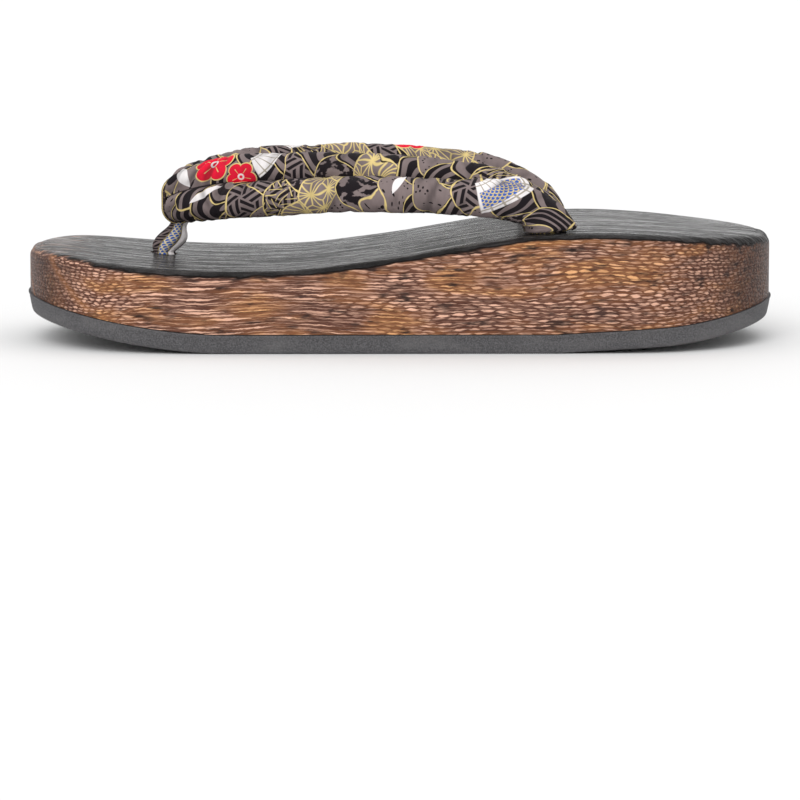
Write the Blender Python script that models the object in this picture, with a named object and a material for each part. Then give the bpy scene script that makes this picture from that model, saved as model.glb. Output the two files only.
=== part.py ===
"""Geta sandal: a carved wooden base on a rubber outsole, with padded thong straps and a front loop.

Metres, +Z up. The origin lies on the floor under the middle of the sole. The toe points to -X, the heel
to +X, and the sandal is the same on its left and right, so either foot can wear it.
"""

import math

import bmesh
import bpy
from mathutils import Matrix, Vector

MM = 0.001

# Sole outline, seen from above
SOLE_LENGTH = 260 * MM
BALL_WIDTH = 107.5 * MM
HEEL_WIDTH = 105 * MM
TOE_ROUND = 60 * MM
HEEL_ROUND = 57 * MM
TOE_SQUARENESS = 2.4
HEEL_SQUARENESS = 2.2
RUBBER_LIP = 0.7 * MM

# Sole profile, seen from the side
RUBBER_THICKNESS = 6.3 * MM
RUBBER_TAPER = 1.5 * MM
TOE_SPRING = 11.0 * MM
TOE_SPRING_LENGTH = 70 * MM
TOE_SPRING_POWER = 1.6
HEEL_RAMP = 4.4 * MM
HEEL_RAMP_LENGTH = 78 * MM
HEEL_SPRING = 4.8 * MM
HEEL_SPRING_LENGTH = 40 * MM
HEEL_SPRING_POWER = 1.7
HEEL_HEIGHT = 41.0 * MM
CROWN = 0.4 * MM
EDGE_ROLL_WIDTH = 5.0 * MM
EDGE_ROLL_DROP = 5.0 * MM

# Holes for the straps and the loop
FRONT_HOLE_SETBACK = 47.0 * MM
FRONT_HOLE_DIAMETER = 9.6 * MM
REAR_HOLE_SETBACK = 180.5 * MM
REAR_HOLE_SPACING = 80.0 * MM
REAR_HOLE_DIAMETER = 12.0 * MM
TAIL_DEPTH = 18.0 * MM
CLEARANCE = 0.3 * MM

# Padded straps: two stuffed rolls side by side, pinched along a seam
STRAP_RISE = 26.5 * MM
ROLL_RADIUS = 6.5 * MM
ROLL_SPREAD = 5.5 * MM
LINING_DIP = 1.0 * MM
SEAM_WEB = 1.9 * MM
BASE_RADIUS = 8.8 * MM

# Front loop: a fabric band round the neck of the straps, twisted together below
BAND_WIDTH = 9.6 * MM
BAND_THICKNESS = 1.5 * MM
STEM_RADIUS = 5.2 * MM
STEM_FLATNESS = 0.72
STEM_TWIST = 150.0
STEM_END_FLATNESS = 0.9

# Mesh fineness
CAP_STEPS = 14
SIDE_STEPS = 14
ROLL_STEPS = 4
ACROSS_STEPS = 8
SECTIONS_PER_ROW = 3
LOBE_STEPS = 9
LINING_STEPS = 2
HOLE_SIDES = 24
BAND_ARC_STEPS = 10
STEM_SIDES = 16

HALF_LENGTH = SOLE_LENGTH / 2 - RUBBER_LIP

# Height of the footbed along its middle: along is a share of SOLE_LENGTH from the toe, height of HEEL_HEIGHT
FOOTBED = [
    {"along": 0.00, "height": 0.808},
    {"along": 0.05, "height": 0.800},
    {"along": 0.12, "height": 0.748},
    {"along": 0.20, "height": 0.700},
    {"along": 0.29, "height": 0.685},
    {"along": 0.37, "height": 0.699},
    {"along": 0.43, "height": 0.742},
    {"along": 0.50, "height": 0.803},
    {"along": 0.56, "height": 0.868},
    {"along": 0.62, "height": 0.932},
    {"along": 0.68, "height": 0.978},
    {"along": 0.75, "height": 1.000},
    {"along": 0.83, "height": 0.982},
    {"along": 0.90, "height": 0.950},
    {"along": 0.96, "height": 0.925},
    {"along": 1.00, "height": 0.912},
]

# Rounding of the top edge: width and drop are shares of EDGE_ROLL_WIDTH and EDGE_ROLL_DROP
EDGE_ROLL = [
    {"along": 0.00, "width": 0.80, "drop": 0.65},
    {"along": 0.12, "width": 0.80, "drop": 0.60},
    {"along": 0.30, "width": 0.55, "drop": 0.50},
    {"along": 0.50, "width": 0.55, "drop": 0.50},
    {"along": 0.68, "width": 0.55, "drop": 0.45},
    {"along": 0.85, "width": 0.70, "drop": 0.50},
    {"along": 1.00, "width": 0.90, "drop": 0.75},
]

# Right strap from the neck at the front to its rear hole. along runs from the front hole (0) to the rear
# hole (1), out is a share of half of REAR_HOLE_SPACING, rise of STRAP_RISE above the footbed, roll of
# ROLL_RADIUS and spread of ROLL_SPREAD. heading, dive and lean are degrees: heading turns from across
# the sandal (90) to along it (0), dive points down, and lean tips the upper roll inwards.
STRAP_COLUMNS = ("along", "out", "rise", "heading", "dive", "lean", "roll", "spread")
STRAP_ROWS = [
    (0.040, 0.000, 0.725, 90, 0, 0, 0.62, 0.47),
    (0.040, 0.120, 0.725, 90, 0, 0, 0.62, 0.47),
    (0.043, 0.160, 0.765, 78, 0, 2, 0.75, 0.60),
    (0.056, 0.200, 0.810, 58, 0, 6, 0.84, 0.69),
    (0.087, 0.275, 0.855, 42, 0, 16, 0.91, 0.78),
    (0.144, 0.380, 0.925, 33, 0, 28, 0.95, 0.91),
    (0.242, 0.550, 1.000, 24, 0, 40, 0.97, 1.10),
    (0.439, 0.750, 1.005, 14, 0, 54, 0.95, 1.18),
    (0.629, 0.862, 0.870, 11, 2, 61, 0.95, 1.20),
    (0.765, 0.932, 0.710, 10, 8, 66, 0.97, 1.12),
    (0.856, 0.972, 0.575, 7, 20, 74, 1.05, 0.92),
    (0.928, 0.990, 0.405, 3, 42, 83, 1.13, 0.62),
    (0.978, 0.996, 0.235, 1, 68, 88, 1.24, 0.42),
]
STRAP_ROWS = [dict(zip(STRAP_COLUMNS, row)) for row in STRAP_ROWS]

# Base of the strap, where it gathers into its hole: radius and height are shares of BASE_RADIUS, and
# spread of ROLL_SPREAD
BASE_ROWS = [
    {"radius": 1.00, "spread": 0.24, "height": 0.26},
    {"radius": 0.94, "spread": 0.18, "height": 0.09},
]

# Stem of the front loop: down runs from the band (0) to the footbed (1), size is a share of STEM_RADIUS,
# and turn of STEM_TWIST
STEM_ROWS = [
    {"down": -0.06, "size": 0.88, "turn": 0.00},
    {"down": 0.10, "size": 0.90, "turn": 0.10},
    {"down": 0.34, "size": 1.08, "turn": 0.34},
    {"down": 0.58, "size": 1.16, "turn": 0.58},
    {"down": 0.80, "size": 1.04, "turn": 0.80},
    {"down": 0.96, "size": 0.88, "turn": 1.00},
]


def smooth_read(rows, key, column, at):
    """Value of a column at a place between rows, on a smooth curve through them."""
    knots = [row[key] for row in rows]
    values = [row[column] for row in rows]
    at = min(max(at, knots[0]), knots[-1])
    i = 0
    while i < len(knots) - 2 and at > knots[i + 1]:
        i += 1

    def slope(j):
        low, high = max(j - 1, 0), min(j + 1, len(knots) - 1)
        return (values[high] - values[low]) / (knots[high] - knots[low])

    step = knots[i + 1] - knots[i]
    t = (at - knots[i]) / step
    start = values[i] * (2 * t**3 - 3 * t**2 + 1) + slope(i) * step * (t**3 - 2 * t**2 + t)
    end = values[i + 1] * (3 * t**2 - 2 * t**3) + slope(i + 1) * step * (t**3 - t**2)
    return start + end


def share_along(x):
    """Share of the sole's length from the toe, at an X position."""
    return min(max((x + SOLE_LENGTH / 2) / SOLE_LENGTH, 0.0), 1.0)


def sole_underside(x):
    """Height of the rubber's underside: flat on the floor, sprung up at the toe, ramped and sprung at the heel."""
    toe = share_of_end(-x, TOE_SPRING_LENGTH)
    ramp = share_of_end(x, HEEL_RAMP_LENGTH)
    heel = share_of_end(x, HEEL_SPRING_LENGTH)
    return TOE_SPRING * toe**TOE_SPRING_POWER + HEEL_RAMP * ramp + HEEL_SPRING * heel**HEEL_SPRING_POWER


def share_of_end(x, length):
    """How far a place is into the last length of the sole: 0 before it and 1 at the tip."""
    return min(max((x - SOLE_LENGTH / 2 + length) / length, 0.0), 1.0)


def half_outline(outset):
    """Points of the right half of the outline, toe tip to heel tip, moved out by outset."""
    half_ball = BALL_WIDTH / 2
    half_heel = HEEL_WIDTH / 2
    points = []
    for i in range(CAP_STEPS):
        turn = math.pi / 2 * i / CAP_STEPS
        x = -HALF_LENGTH + TOE_ROUND * (1 - math.cos(turn) ** (2 / TOE_SQUARENESS))
        points.append((x, half_ball * math.sin(turn) ** (2 / TOE_SQUARENESS)))
    side_start = -HALF_LENGTH + TOE_ROUND
    side_length = 2 * HALF_LENGTH - TOE_ROUND - HEEL_ROUND
    for i in range(SIDE_STEPS):
        t = i / SIDE_STEPS
        ease = t * t * (3 - 2 * t)
        points.append((side_start + side_length * t, half_ball + (half_heel - half_ball) * ease))
    for i in range(CAP_STEPS + 1):
        turn = math.pi / 2 * (1 - i / CAP_STEPS)
        x = HALF_LENGTH - HEEL_ROUND * (1 - max(math.cos(turn), 0.0) ** (2 / HEEL_SQUARENESS))
        points.append((x, half_heel * max(math.sin(turn), 0.0) ** (2 / HEEL_SQUARENESS)))
    return move_out(points, outset)


def move_out(points, outset):
    """The half outline moved along its normals. Its two ends stay on the middle line."""
    moved = []
    for i, (x, y) in enumerate(points):
        if i == 0:
            moved.append((x - outset, 0.0))
        elif i == len(points) - 1:
            moved.append((x + outset, 0.0))
        else:
            (x0, y0), (x1, y1) = points[i - 1], points[i + 1]
            length = math.hypot(x1 - x0, y1 - y0)
            moved.append((x - outset * (y1 - y0) / length, y + outset * (x1 - x0) / length))
    return moved


def footbed_height(x, y, reach):
    """Height of the footbed where it isn't rolled off. reach is its half width at this X."""
    middle = HEEL_HEIGHT * smooth_read(FOOTBED, "along", "height", share_along(x))
    return middle - CROWN * min(abs(y) / max(reach, MM), 1.0) ** 2


def half_width_at(x):
    """Half width of the wood at an X position."""
    points = half_outline(0.0)
    for (x0, y0), (x1, y1) in zip(points, points[1:]):
        if x0 <= x <= x1:
            return y0 + (y1 - y0) * (x - x0) / max(x1 - x0, 1e-9)
    return 0.0


def surface_height(x, y):
    """Height of the footbed under the straps."""
    return footbed_height(x, y, half_width_at(x) - EDGE_ROLL_WIDTH)


def mirrored_ring(half, height):
    """A closed ring of points from the half outline: out along +Y, back along -Y."""
    right = [(x, y, height(x, y)) for x, y in half]
    left = [(x, -y, height(x, y)) for x, y in half[-2:0:-1]]
    return right + left


def join_rings(first, second, count):
    """Quads between two rings of count points that start at these vertex numbers."""
    return [
        (first + i, first + (i + 1) % count, second + (i + 1) % count, second + i)
        for i in range(count)
    ]


def strip_face(start, half_count, flipped):
    """Faces across a mirrored ring, joining the points that share an X."""
    count = 2 * half_count - 2

    def left(i):
        return start + (count - i) % count

    faces = [(start, start + 1, left(1))]
    for i in range(1, half_count - 2):
        faces.append((start + i, start + i + 1, left(i + 1), left(i)))
    last = half_count - 2
    faces.append((start + last, start + last + 1, left(last)))
    return [face[::-1] for face in faces] if flipped else faces


def make_object(name, points, faces, material):
    """A smooth-shaded object of one closed mesh, with its faces turned outwards."""
    mesh = bpy.data.meshes.new(name)
    mesh.from_pydata(points, [], faces)
    shape = bmesh.new()
    shape.from_mesh(mesh)
    bmesh.ops.remove_doubles(shape, verts=shape.verts, dist=0.001 * MM)
    bmesh.ops.recalc_face_normals(shape, faces=shape.faces)
    if shape.calc_volume(signed=True) < 0:
        bmesh.ops.reverse_faces(shape, faces=shape.faces)
    shape.to_mesh(mesh)
    shape.free()
    mesh.shade_smooth()
    mesh.set_sharp_from_angle(angle=math.radians(40))
    obj = bpy.data.objects.new(name, mesh)
    obj.data.materials.append(material)
    bpy.context.scene.collection.objects.link(obj)
    return obj


def make_material(name, colour, roughness, metallic=0.0):
    material = bpy.data.materials.new(name)
    material.use_nodes = True
    shader = material.node_tree.nodes["Principled BSDF"]
    shader.inputs["Base Color"].default_value = (*colour, 1.0)
    shader.inputs["Roughness"].default_value = roughness
    shader.inputs["Metallic"].default_value = metallic
    return material


def make_outsole(material):
    """Rubber layer whose side draws in towards the floor."""
    rings = [
        (half_outline(RUBBER_LIP - RUBBER_TAPER), lambda x, y: sole_underside(x)),
        (half_outline(RUBBER_LIP), lambda x, y: sole_underside(x) + RUBBER_THICKNESS),
    ]
    points = [point for half, height in rings for point in mirrored_ring(half, height)]
    half_count = len(rings[0][0])
    count = 2 * half_count - 2
    faces = join_rings(0, count, count)
    faces += strip_face(0, half_count, True)
    faces += strip_face(count, half_count, False)
    return make_object("outsole", points, faces, material)


def wood_rings():
    """Half outlines and heights of the wood, from its underside up its side and over the rolled edge."""
    wall = half_outline(0.0)

    def rolled(x, y, t):
        # t is 0 at the wall and 1 where the roll meets the footbed, and the roll is a quarter of an ellipse
        drop = EDGE_ROLL_DROP * smooth_read(EDGE_ROLL, "along", "drop", share_along(x))
        return footbed_height(x, y, max(abs(y), MM)) - drop * (1 - math.sin(math.pi / 2 * t))

    rings = [(wall, lambda x, y: sole_underside(x) + RUBBER_THICKNESS + CLEARANCE)]
    for i in range(ROLL_STEPS + 1):
        t = i / ROLL_STEPS
        inset = []
        for j, (x, y) in enumerate(wall):
            width = EDGE_ROLL_WIDTH * smooth_read(EDGE_ROLL, "along", "width", share_along(x))
            moved = half_outline_cache(-width * (1 - math.cos(math.pi / 2 * t)))
            inset.append(moved[j])
        rings.append((inset, lambda x, y, t=t: rolled(x, y, t)))
    return rings


OUTLINES = {}


def half_outline_cache(outset):
    """The half outline at a rounded outset, kept so that each one is worked out once."""
    key = round(outset / MM, 2)
    if key not in OUTLINES:
        OUTLINES[key] = half_outline(key * MM)
    return OUTLINES[key]


def make_wood(material):
    """Carved base, closed on top by rows of points across the footbed."""
    rings = wood_rings()
    points = [point for half, height in rings for point in mirrored_ring(half, height)]
    half_count = len(rings[0][0])
    count = 2 * half_count - 2
    faces = strip_face(0, half_count, True)
    for i in range(len(rings) - 1):
        faces += join_rings(i * count, (i + 1) * count, count)
    faces += footbed_faces(points, (len(rings) - 1) * count, half_count)
    wood = make_object("wood_base", points, faces, material)
    for cutter in hole_cutters():
        cut = wood.modifiers.new(cutter.name, "BOOLEAN")
        cut.operation = "DIFFERENCE"
        cut.solver = "EXACT"
        cut.object = cutter
    return wood


def footbed_faces(points, start, half_count):
    """Adds the footbed's inner points, and gives the faces between them and the ring that starts at start."""
    count = 2 * half_count - 2
    rows = [[start]]
    for i in range(1, half_count - 1):
        right, left = start + i, start + count - i
        x, reach, _ = points[right]
        row = [left]
        for j in range(1, ACROSS_STEPS):
            y = reach * (2 * j / ACROSS_STEPS - 1)
            row.append(len(points))
            points.append((x, y, footbed_height(x, y, reach)))
        rows.append(row + [right])
    rows.append([start + half_count - 1])
    faces = []
    for low, high in zip(rows, rows[1:]):
        if len(low) == 1:
            faces += [(low[0], high[j], high[j + 1]) for j in range(ACROSS_STEPS)]
        elif len(high) == 1:
            faces += [(low[j], high[0], low[j + 1]) for j in range(ACROSS_STEPS)]
        else:
            faces += [(low[j], high[j], high[j + 1], low[j + 1]) for j in range(ACROSS_STEPS)]
    return faces


def hole_places():
    """X, Y and diameter of the front hole and the two rear holes."""
    toe = -SOLE_LENGTH / 2
    rear = toe + REAR_HOLE_SETBACK
    return [
        ("front_hole", toe + FRONT_HOLE_SETBACK, 0.0, FRONT_HOLE_DIAMETER),
        ("rear_hole_right", rear, REAR_HOLE_SPACING / 2, REAR_HOLE_DIAMETER),
        ("rear_hole_left", rear, -REAR_HOLE_SPACING / 2, REAR_HOLE_DIAMETER),
    ]


def hole_cutters():
    """Cylinders that drill right through the wood. They are guides and not parts."""
    cutters = []
    for name, x, y, diameter in hole_places():
        mesh = bpy.data.meshes.new(name)
        shape = bmesh.new()
        bmesh.ops.create_cone(
            shape,
            cap_ends=True,
            segments=HOLE_SIDES,
            radius1=diameter / 2,
            radius2=diameter / 2,
            depth=2 * HEEL_HEIGHT,
            matrix=Matrix.Translation((x, y, HEEL_HEIGHT)),
        )
        shape.to_mesh(mesh)
        shape.free()
        cutter = bpy.data.objects.new(name, mesh)
        cutter.hide_render = True
        cutter.display_type = "WIRE"
        bpy.context.scene.collection.objects.link(cutter)
        cutters.append(cutter)
    return cutters


def two_roll_section(roll, spread):
    """Outline of two stuffed rolls side by side as (along the strap's width, towards its outer face).

    It runs from the outer seam round the upper roll, across the lining, and round the lower roll. At the
    seam the rolls stay joined by a web of at least twice SEAM_WEB.
    """
    deepest = math.sqrt(1 - (SEAM_WEB / roll) ** 2)
    pinch = math.acos(-min(spread / roll, deepest))
    upper = []
    for i in range(LOBE_STEPS):
        turn = pinch - (pinch + math.pi / 2) * i / (LOBE_STEPS - 1)
        upper.append((spread + roll * math.cos(turn), roll * math.sin(turn)))
    dip = LINING_DIP * min(spread / roll, 1.0)
    for i in range(1, LINING_STEPS):
        u = spread * (1 - i / LINING_STEPS)
        upper.append((u, -roll + dip * math.cos(math.pi / 2 * u / max(spread, 0.01 * MM)) ** 2))
    lower = [(-u, v) for u, v in reversed(upper[1:])]
    return upper + [(0.0, -roll + dip)] + lower


def placed_section(centre, heading, dive, lean, outline):
    """The section's points in space, square to the strap's run."""
    a, b, c = (math.radians(angle) for angle in (heading, dive, lean))
    outward = Vector((-math.sin(a), math.cos(a), 0.0))
    upward = Vector((math.cos(a) * math.sin(b), math.sin(a) * math.sin(b), math.cos(b)))
    wide = upward * math.cos(c) - outward * math.sin(c)
    face = outward * math.cos(c) + upward * math.sin(c)
    return [tuple(Vector(centre) + wide * u + face * v) for u, v in outline]


def strap_sections():
    """Sections of the right strap, from the neck to the bottom of its tail."""
    front = -SOLE_LENGTH / 2 + FRONT_HOLE_SETBACK
    run = REAR_HOLE_SETBACK - FRONT_HOLE_SETBACK
    reach = REAR_HOLE_SPACING / 2
    rows = [{"row": i, **row} for i, row in enumerate(STRAP_ROWS)]
    sections = []
    for i in range((len(rows) - 1) * SECTIONS_PER_ROW + 1):
        at = i / SECTIONS_PER_ROW
        read = {column: smooth_read(rows, "row", column, at) for column in STRAP_ROWS[0]}
        x = front + run * read["along"]
        y = reach * max(read["out"], 0.0)
        centre = (x, y, surface_height(x, y) + STRAP_RISE * read["rise"])
        outline = two_roll_section(ROLL_RADIUS * read["roll"], ROLL_SPREAD * max(read["spread"], 0.0))
        sections.append(placed_section(centre, read["heading"], read["dive"], read["lean"], outline))
    return sections + base_sections()


def base_sections():
    """Sections where the strap gathers, enters its hole and ends inside the wood."""
    place = (-SOLE_LENGTH / 2 + REAR_HOLE_SETBACK, REAR_HOLE_SPACING / 2)
    tail = REAR_HOLE_DIAMETER / 2 - CLEARANCE
    shapes = [
        (BASE_RADIUS * row["radius"], ROLL_SPREAD * row["spread"], BASE_RADIUS * row["height"])
        for row in BASE_ROWS
    ]
    shapes += [(tail, 0.0, CLEARANCE), (tail, 0.0, -TAIL_DEPTH)]
    return [
        over_footbed(place, two_roll_section(radius, spread), above) for radius, spread, above in shapes
    ]


def over_footbed(place, outline, above):
    """A section laid parallel to the footbed round a place, with its rolls side by side across the sandal."""
    points = [(place[0] + v, place[1] - u) for u, v in outline]
    return [(x, y, surface_height(x, y) + above) for x, y in points]


def make_straps(material):
    """Both straps as one solid, mirrored at the neck where the front loop holds them."""
    right = strap_sections()
    left = [[(x, -y, z) for x, y, z in section] for section in right[:0:-1]]
    sections = left + right
    count = len(right[0])
    points = [point for section in sections for point in section]
    faces = []
    for i in range(len(sections) - 1):
        faces += join_rings(i * count, (i + 1) * count, count)
    faces.append(tuple(range(count - 1, -1, -1)))
    faces.append(tuple(range(len(points) - count, len(points))))
    return make_object("straps", points, faces, material)


def neck_facts():
    """Centre, roll radius and spread of the straps' neck, where the front loop passes round it."""
    row = STRAP_ROWS[0]
    x = -SOLE_LENGTH / 2 + FRONT_HOLE_SETBACK
    x += (REAR_HOLE_SETBACK - FRONT_HOLE_SETBACK) * row["along"]
    z = surface_height(x, 0.0) + STRAP_RISE * row["rise"]
    return (x, z), ROLL_RADIUS * row["roll"], ROLL_SPREAD * row["spread"]


def oval(centre, radius, straight):
    """Points of an upright oval in the XZ plane, with straight flanks of 2 * straight."""
    points = []
    for side in (1, -1):
        for i in range(BAND_ARC_STEPS + 1):
            turn = math.pi * i / BAND_ARC_STEPS
            points.append(
                (
                    centre[0] + side * radius * math.cos(turn),
                    centre[1] + side * (straight + radius * math.sin(turn)),
                )
            )
    return points


def make_band(material):
    """Fabric band round the neck, a little clear of it."""
    centre, roll, spread = neck_facts()
    inner = oval(centre, roll + CLEARANCE, spread)
    outer = oval(centre, roll + CLEARANCE + BAND_THICKNESS, spread)
    count = len(inner)
    half = BAND_WIDTH / 2
    rings = [(inner, -half), (outer, -half), (outer, half), (inner, half)]
    points = [(x, y, z) for ring, y in rings for x, z in ring]
    faces = []
    for i in range(len(rings)):
        faces += join_rings(i * count, (i + 1) % len(rings) * count, count)
    return make_object("front_loop", points, faces, material)


def make_stem(material):
    """Twisted stem from the band down into the front hole."""
    (top_x, neck_z), roll, spread = neck_facts()
    top_z = neck_z - spread - roll - CLEARANCE - BAND_THICKNESS
    bottom_x = -SOLE_LENGTH / 2 + FRONT_HOLE_SETBACK
    bottom_z = surface_height(bottom_x, 0.0)
    tail = FRONT_HOLE_DIAMETER / 2 - CLEARANCE
    rows = [(row["down"], STEM_RADIUS * row["size"], STEM_FLATNESS, row["turn"]) for row in STEM_ROWS]
    sections = []
    for i in range((len(rows) - 1) * SECTIONS_PER_ROW + 1):
        low = min(i // SECTIONS_PER_ROW, len(rows) - 2)
        t = i / SECTIONS_PER_ROW - low
        sections.append([a + (b - a) * t for a, b in zip(rows[low], rows[low + 1])])
    points = []
    for down, radius, flat, turn in sections:
        centre = (top_x + (bottom_x - top_x) * down, 0.0, top_z + (bottom_z - top_z) * down)
        points += stem_ring(centre, radius, radius * flat, math.radians(STEM_TWIST * turn))
    for z in (bottom_z - CLEARANCE, bottom_z - TAIL_DEPTH / 2):
        points += stem_ring((bottom_x, 0.0, z), tail, tail * STEM_END_FLATNESS, math.radians(STEM_TWIST))
    faces = []
    for i in range(len(points) // STEM_SIDES - 1):
        faces += join_rings(i * STEM_SIDES, (i + 1) * STEM_SIDES, STEM_SIDES)
    faces.append(tuple(range(STEM_SIDES - 1, -1, -1)))
    faces.append(tuple(range(len(points) - STEM_SIDES, len(points))))
    stem = make_object("loop_stem", points, faces, material)
    stem.hide_render = True
    stem.display_type = "WIRE"
    return stem


def stem_ring(centre, wide, narrow, turn):
    """A level ring of the stem, turned about the upright."""
    ring = []
    for i in range(STEM_SIDES):
        angle = 2 * math.pi * i / STEM_SIDES
        u, v = wide * math.cos(angle), narrow * math.sin(angle)
        x = centre[0] + v * math.cos(turn) - u * math.sin(turn)
        y = centre[1] + u * math.cos(turn) + v * math.sin(turn)
        ring.append((x, y, centre[2]))
    return ring


def make_front_loop(material):
    """Band and stem joined into one solid."""
    band = make_band(material)
    join = band.modifiers.new("stem", "BOOLEAN")
    join.operation = "UNION"
    join.solver = "EXACT"
    join.object = make_stem(material)
    return band


def clear_scene():
    for obj in list(bpy.data.objects):
        bpy.data.objects.remove(obj, do_unlink=True)


def main():
    clear_scene()
    wood = make_material("scorched_wood", (0.13, 0.060, 0.032), 0.35)
    rubber = make_material("grey_rubber", (0.060, 0.057, 0.060), 0.75)
    print_cloth = make_material("printed_cotton", (0.105, 0.085, 0.085), 0.85)
    loop_cloth = make_material("loop_cotton", (0.060, 0.050, 0.052), 0.85)
    make_outsole(rubber)
    make_wood(wood)
    make_straps(print_cloth)
    make_front_loop(loop_cloth)


main()
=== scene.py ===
"""The geta sandal's looks: scorched wood, rubber and printed, padded straps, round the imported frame."""

import math

import bmesh
import bpy
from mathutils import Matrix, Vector, noise


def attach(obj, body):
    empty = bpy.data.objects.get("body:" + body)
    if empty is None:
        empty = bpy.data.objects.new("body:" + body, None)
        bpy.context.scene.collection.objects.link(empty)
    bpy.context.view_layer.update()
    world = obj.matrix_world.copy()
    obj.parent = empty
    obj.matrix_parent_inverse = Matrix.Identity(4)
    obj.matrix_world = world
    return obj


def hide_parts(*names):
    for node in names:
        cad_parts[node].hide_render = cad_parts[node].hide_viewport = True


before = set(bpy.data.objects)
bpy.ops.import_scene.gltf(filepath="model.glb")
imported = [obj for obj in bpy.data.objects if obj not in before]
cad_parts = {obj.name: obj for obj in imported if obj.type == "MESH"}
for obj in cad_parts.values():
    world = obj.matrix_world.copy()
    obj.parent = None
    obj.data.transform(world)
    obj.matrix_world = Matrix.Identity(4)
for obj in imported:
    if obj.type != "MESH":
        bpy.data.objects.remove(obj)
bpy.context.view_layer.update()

MM = 0.001
TINY = 0.01 * MM

# Sizes that the solids were made with
SOLE_LENGTH = 260 * MM
BALL_WIDTH = 107.5 * MM
HEEL_WIDTH = 105 * MM
TOE_ROUND = 60 * MM
HEEL_ROUND = 57 * MM
TOE_SQUARENESS = 2.4
HEEL_SQUARENESS = 2.2
RUBBER_LIP = 0.7 * MM
RUBBER_THICKNESS = 6.3 * MM
RUBBER_TAPER = 1.5 * MM
TOE_SPRING = 11.0 * MM
TOE_SPRING_LENGTH = 70 * MM
TOE_SPRING_POWER = 1.6
HEEL_RAMP = 4.4 * MM
HEEL_RAMP_LENGTH = 78 * MM
HEEL_SPRING = 4.8 * MM
HEEL_SPRING_LENGTH = 40 * MM
HEEL_SPRING_POWER = 1.7
HEEL_HEIGHT = 41.0 * MM
CROWN = 0.4 * MM
EDGE_ROLL_WIDTH = 5.0 * MM
EDGE_ROLL_DROP = 5.0 * MM
FRONT_HOLE_SETBACK = 47.0 * MM
FRONT_HOLE_DIAMETER = 9.6 * MM
REAR_HOLE_SETBACK = 180.5 * MM
REAR_HOLE_SPACING = 80.0 * MM
REAR_HOLE_DIAMETER = 12.0 * MM
TAIL_DEPTH = 18.0 * MM
CLEARANCE = 0.3 * MM
STRAP_RISE = 26.5 * MM
ROLL_RADIUS = 6.5 * MM
ROLL_SPREAD = 5.5 * MM
LINING_DIP = 1.0 * MM
SEAM_WEB = 1.9 * MM
BASE_RADIUS = 8.8 * MM
BAND_WIDTH = 9.6 * MM
BAND_THICKNESS = 1.5 * MM
STEM_RADIUS = 5.2 * MM
STEM_FLATNESS = 0.72
STEM_TWIST = 150.0
HALF_LENGTH = SOLE_LENGTH / 2 - RUBBER_LIP
FRONT_X = -SOLE_LENGTH / 2 + FRONT_HOLE_SETBACK
REAR_X = -SOLE_LENGTH / 2 + REAR_HOLE_SETBACK

# What the camera and the lights are turned to
SANDAL_MIDDLE = (0.0, 0.0, 0.035)

# Finer forms that the solids leave out
RIB_PITCH = 0.62 * MM
RIB_DEPTH = 0.28 * MM
STEM_FOLD = 0.17
STEM_STRIPS = 6
LINING_PROUD = 0.35 * MM
LINING_SUNK = 0.12 * MM
LINING_THICKNESS = 0.3 * MM
PLEAT = 0.12 * MM
PLEATS_ACROSS = 5

# Mesh fineness
CAP_STEPS = 44
SIDE_STEPS = 60
WALL_STEPS = 14
ROLL_STEPS = 8
ACROSS_STEPS = 64
TABLE_STEPS = 3
STEPS_BETWEEN = 6
BAND_ROUND_STEPS = 120
STEM_STEPS = 60
STEM_SIDES = 60
BAND_SIDE_STEPS = 24
LINING_ROWS = 34
LINING_LAP = 3
LOBE_STEPS = 34
LINING_STEPS = 8
HOLE_SIDES = 48


def rows_of(columns, *rows):
    """A table's rows, each with its values under the names of the columns."""
    return [dict(zip(columns.split(), row)) for row in rows]


def part_of_one(value):
    """The value, held between 0 and 1."""
    return min(max(value, 0.0), 1.0)


def turned(a, b, degrees):
    """A place in the axes of something that is turned by so many degrees."""
    turn = math.radians(degrees)
    return a * math.cos(turn) + b * math.sin(turn), b * math.cos(turn) - a * math.sin(turn)


# Side of the rubber from its underside up: lip and rise are shares of RUBBER_LIP and RUBBER_THICKNESS,
# and taper of RUBBER_TAPER
SOLE_SIDE = rows_of(
    "lip taper rise",
    (1.00, 1.00, 0.00),
    (1.00, 0.80, 0.12),
    (1.00, 0.45, 0.50),
    (1.00, 0.20, 0.86),
    (1.00, 0.02, 0.92),
    (1.00, 0.00, 0.97),
    (0.70, 0.00, 1.00),
)

# The top of the wood: along is a share of the sandal's length, and the rest are shares of HEEL_HEIGHT,
# EDGE_ROLL_WIDTH and EDGE_ROLL_DROP
FOOTBED = rows_of(
    "along height",
    (0.00, 0.808),
    (0.05, 0.800),
    (0.12, 0.748),
    (0.20, 0.700),
    (0.29, 0.685),
    (0.37, 0.699),
    (0.43, 0.742),
    (0.50, 0.803),
    (0.56, 0.868),
    (0.62, 0.932),
    (0.68, 0.978),
    (0.75, 1.000),
    (0.83, 0.982),
    (0.90, 0.950),
    (0.96, 0.925),
    (1.00, 0.912),
)
EDGE_ROLL = rows_of(
    "along width drop",
    (0.00, 0.80, 0.65),
    (0.12, 0.80, 0.60),
    (0.30, 0.55, 0.50),
    (0.50, 0.55, 0.50),
    (0.68, 0.55, 0.45),
    (0.85, 0.70, 0.50),
    (1.00, 0.90, 0.75),
)

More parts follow.
